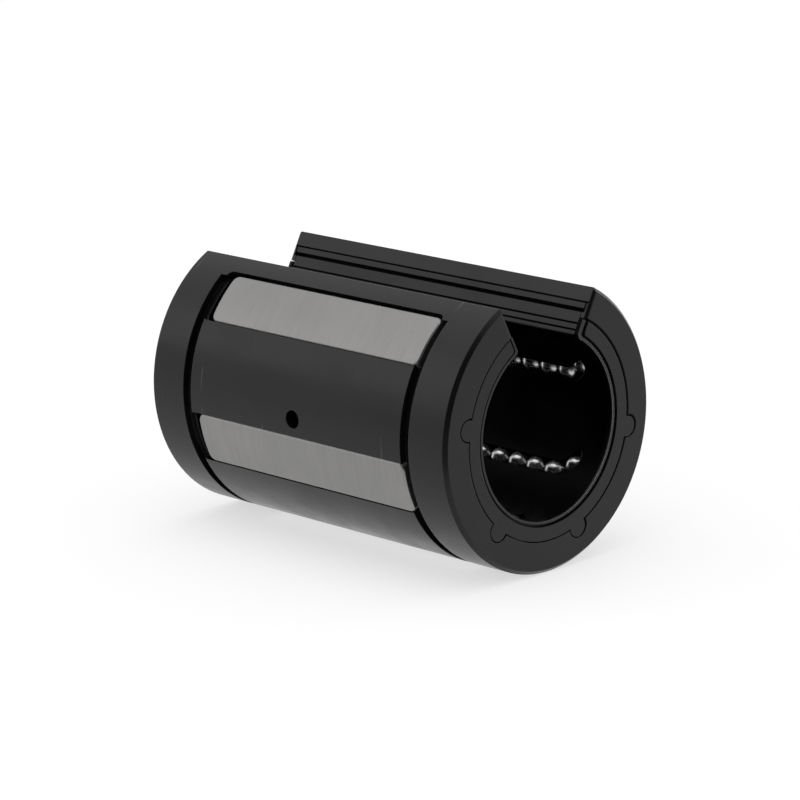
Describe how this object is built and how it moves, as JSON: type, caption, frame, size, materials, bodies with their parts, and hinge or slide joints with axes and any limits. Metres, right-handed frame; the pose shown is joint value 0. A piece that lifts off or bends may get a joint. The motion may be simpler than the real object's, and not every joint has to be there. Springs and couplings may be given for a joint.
{
  "type": "open linear ball bushing",
  "caption": "Open linear ball bushing: a slotted moulded sleeve with steel bearing plates, recirculating ball circuits, end wipers and grooves for retaining rings.",
  "frame": {"origin": "on the bore axis, at mid-length", "axes": "+X along the bore towards the front end, +Z out through the middle of the slot, -Y towards the fixing hole"},
  "size_m": [0.068, 0.047, 0.0444],
  "materials": {
    "sleeve_plastic": "matte black moulded plastic, faintly mottled",
    "cage_plastic": "matte black moulded plastic",
    "wiper_rubber": "smooth black nitrile rubber",
    "plate_steel": "fine ground steel, satin",
    "ball_steel": "polished hardened steel"
  },
  "bodies": {
    "root": {"outer_sleeve": "sleeve_plastic", "ball_cage": "cage_plastic", "front_end_ring": "sleeve_plastic", "rear_end_ring": "sleeve_plastic", "front_wiper": "wiper_rubber", "rear_wiper": "wiper_rubber", "bearing_plate_1": "plate_steel", "bearing_plate_2": "plate_steel", "bearing_plate_3": "plate_steel", "bearing_plate_4": "plate_steel", "bearing_plate_5": "plate_steel"},
    "load_row_1": {"load_balls_1": "ball_steel"},
    "return_row_1": {"return_balls_1": "ball_steel"},
    "front_turn_1": {"front_turn_balls_1": "ball_steel"},
    "rear_turn_1": {"rear_turn_balls_1": "ball_steel"},
    "load_row_2": {"load_balls_2": "ball_steel"},
    "return_row_2": {"return_balls_2": "ball_steel"},
    "front_turn_2": {"front_turn_balls_2": "ball_steel"},
    "rear_turn_2": {"rear_turn_balls_2": "ball_steel"},
    "load_row_3": {"load_balls_3": "ball_steel"},
    "return_row_3": {"return_balls_3": "ball_steel"},
    "front_turn_3": {"front_turn_balls_3": "ball_steel"},
    "rear_turn_3": {"rear_turn_balls_3": "ball_steel"},
    "load_row_4": {"load_balls_4": "ball_steel"},
    "return_row_4": {"return_balls_4": "ball_steel"},
    "front_turn_4": {"front_turn_balls_4": "ball_steel"},
    "rear_turn_4": {"rear_turn_balls_4": "ball_steel"},
    "load_row_5": {"load_balls_5": "ball_steel"},
    "return_row_5": {"return_balls_5": "ball_steel"},
    "front_turn_5": {"front_turn_balls_5": "ball_steel"},
    "rear_turn_5": {"rear_turn_balls_5": "ball_steel"}
  },
  "joints": [
    {"name": "load_row_1_roll", "type": "slide", "parent": "root", "child": "load_row_1", "axis": [1, 0, 0], "range_m": [-0.00366, 0.00036]},
    {"name": "return_row_1_roll", "type": "slide", "parent": "root", "child": "return_row_1", "axis": [1, 0, 0], "range_m": [-0.00036, 0.00366]},
    {"name": "front_turn_1_roll", "type": "hinge", "parent": "root", "child": "front_turn_1", "pos_m": [0.02411, -0.01531, 0.00838], "axis": [0, 0.7431, -0.6691], "range_deg": [-54.63, 5.37]},
    {"name": "rear_turn_1_roll", "type": "hinge", "parent": "root", "child": "rear_turn_1", "pos_m": [-0.02411, -0.01531, 0.00838], "axis": [0, 0.7431, -0.6691], "range_deg": [-54.63, 5.37]},
    {"name": "load_row_2_roll", "type": "slide", "parent": "root", "child": "load_row_2", "axis": [1, 0, 0], "range_m": [-0.00366, 0.00036]},
    {"name": "return_row_2_roll", "type": "slide", "parent": "root", "child": "return_row_2", "axis": [1, 0, 0], "range_m": [-0.00036, 0.00366]},
    {"name": "front_turn_2_roll", "type": "hinge", "parent": "root", "child": "front_turn_2", "pos_m": [0.02411, -0.01491, -0.00907], "axis": [0, 0.9511, 0.309], "range_deg": [-54.63, 5.37]},
    {"name": "rear_turn_2_roll", "type": "hinge", "parent": "root", "child": "rear_turn_2", "pos_m": [-0.02411, -0.01491, -0.00907], "axis": [0, 0.9511, 0.309], "range_deg": [-54.63, 5.37]},
    {"name": "load_row_3_roll", "type": "slide", "parent": "root", "child": "load_row_3", "axis": [1, 0, 0], "range_m": [-0.00366, 0.00036]},
    {"name": "return_row_3_roll", "type": "slide", "parent": "root", "child": "return_row_3", "axis": [1, 0, 0], "range_m": [-0.00036, 0.00366]},
    {"name": "front_turn_3_roll", "type": "hinge", "parent": "root", "child": "front_turn_3", "pos_m": [0.02411, 0.0004, -0.01745], "axis": [0, 0.2079, 0.9781], "range_deg": [-54.63, 5.37]},
    {"name": "rear_turn_3_roll", "type": "hinge", "parent": "root", "child": "rear_turn_3", "pos_m": [-0.02411, 0.0004, -0.01745], "axis": [0, 0.2079, 0.9781], "range_deg": [-54.63, 5.37]},
    {"name": "load_row_4_roll", "type": "slide", "parent": "root", "child": "load_row_4", "axis": [1, 0, 0], "range_m": [-0.00366, 0.00036]},
    {"name": "return_row_4_roll", "type": "slide", "parent": "root", "child": "return_row_4", "axis": [1, 0, 0], "range_m": [-0.00036, 0.00366]},
    {"name": "front_turn_4_roll", "type": "hinge", "parent": "root", "child": "front_turn_4", "pos_m": [0.02411, 0.01531, -0.00838], "axis": [0, -0.7431, 0.6691], "range_deg": [-54.63, 5.37]},
    {"name": "rear_turn_4_roll", "type": "hinge", "parent": "root", "child": "rear_turn_4", "pos_m": [-0.02411, 0.01531, -0.00838], "axis": [0, -0.7431, 0.6691], "range_deg": [-54.63, 5.37]},
    {"name": "load_row_5_roll", "type": "slide", "parent": "root", "child": "load_row_5", "axis": [1, 0, 0], "range_m": [-0.00366, 0.00036]},
    {"name": "return_row_5_roll", "type": "slide", "parent": "root", "child": "return_row_5", "axis": [1, 0, 0], "range_m": [-0.00036, 0.00366]},
    {"name": "front_turn_5_roll", "type": "hinge", "parent": "root", "child": "front_turn_5", "pos_m": [0.02411, 0.01491, 0.00907], "axis": [0, -0.9511, -0.309], "range_deg": [-54.63, 5.37]},
    {"name": "rear_turn_5_roll", "type": "hinge", "parent": "root", "child": "rear_turn_5", "pos_m": [-0.02411, 0.01491, 0.00907], "axis": [0, -0.9511, -0.309], "range_deg": [-54.63, 5.37]}
  ],
  "couplings": [
    {"joint": "return_row_1_roll", "follows": "load_row_1_roll", "ratio": -1},
    {"joint": "front_turn_1_roll", "follows": "load_row_1_roll", "rad_per_m": 260.55},
    {"joint": "rear_turn_1_roll", "follows": "load_row_1_roll", "rad_per_m": 260.55},
    {"joint": "return_row_2_roll", "follows": "load_row_2_roll", "ratio": -1},
    {"joint": "front_turn_2_roll", "follows": "load_row_2_roll", "rad_per_m": 260.55},
    {"joint": "rear_turn_2_roll", "follows": "load_row_2_roll", "rad_per_m": 260.55},
    {"joint": "return_row_3_roll", "follows": "load_row_3_roll", "ratio": -1},
    {"joint": "front_turn_3_roll", "follows": "load_row_3_roll", "rad_per_m": 260.55},
    {"joint": "rear_turn_3_roll", "follows": "load_row_3_roll", "rad_per_m": 260.55},
    {"joint": "return_row_4_roll", "follows": "load_row_4_roll", "ratio": -1},
    {"joint": "front_turn_4_roll", "follows": "load_row_4_roll", "rad_per_m": 260.55},
    {"joint": "rear_turn_4_roll", "follows": "load_row_4_roll", "rad_per_m": 260.55},
    {"joint": "return_row_5_roll", "follows": "load_row_5_roll", "ratio": -1},
    {"joint": "front_turn_5_roll", "follows": "load_row_5_roll", "rad_per_m": 260.55},
    {"joint": "rear_turn_5_roll", "follows": "load_row_5_roll", "rad_per_m": 260.55}
  ]
}
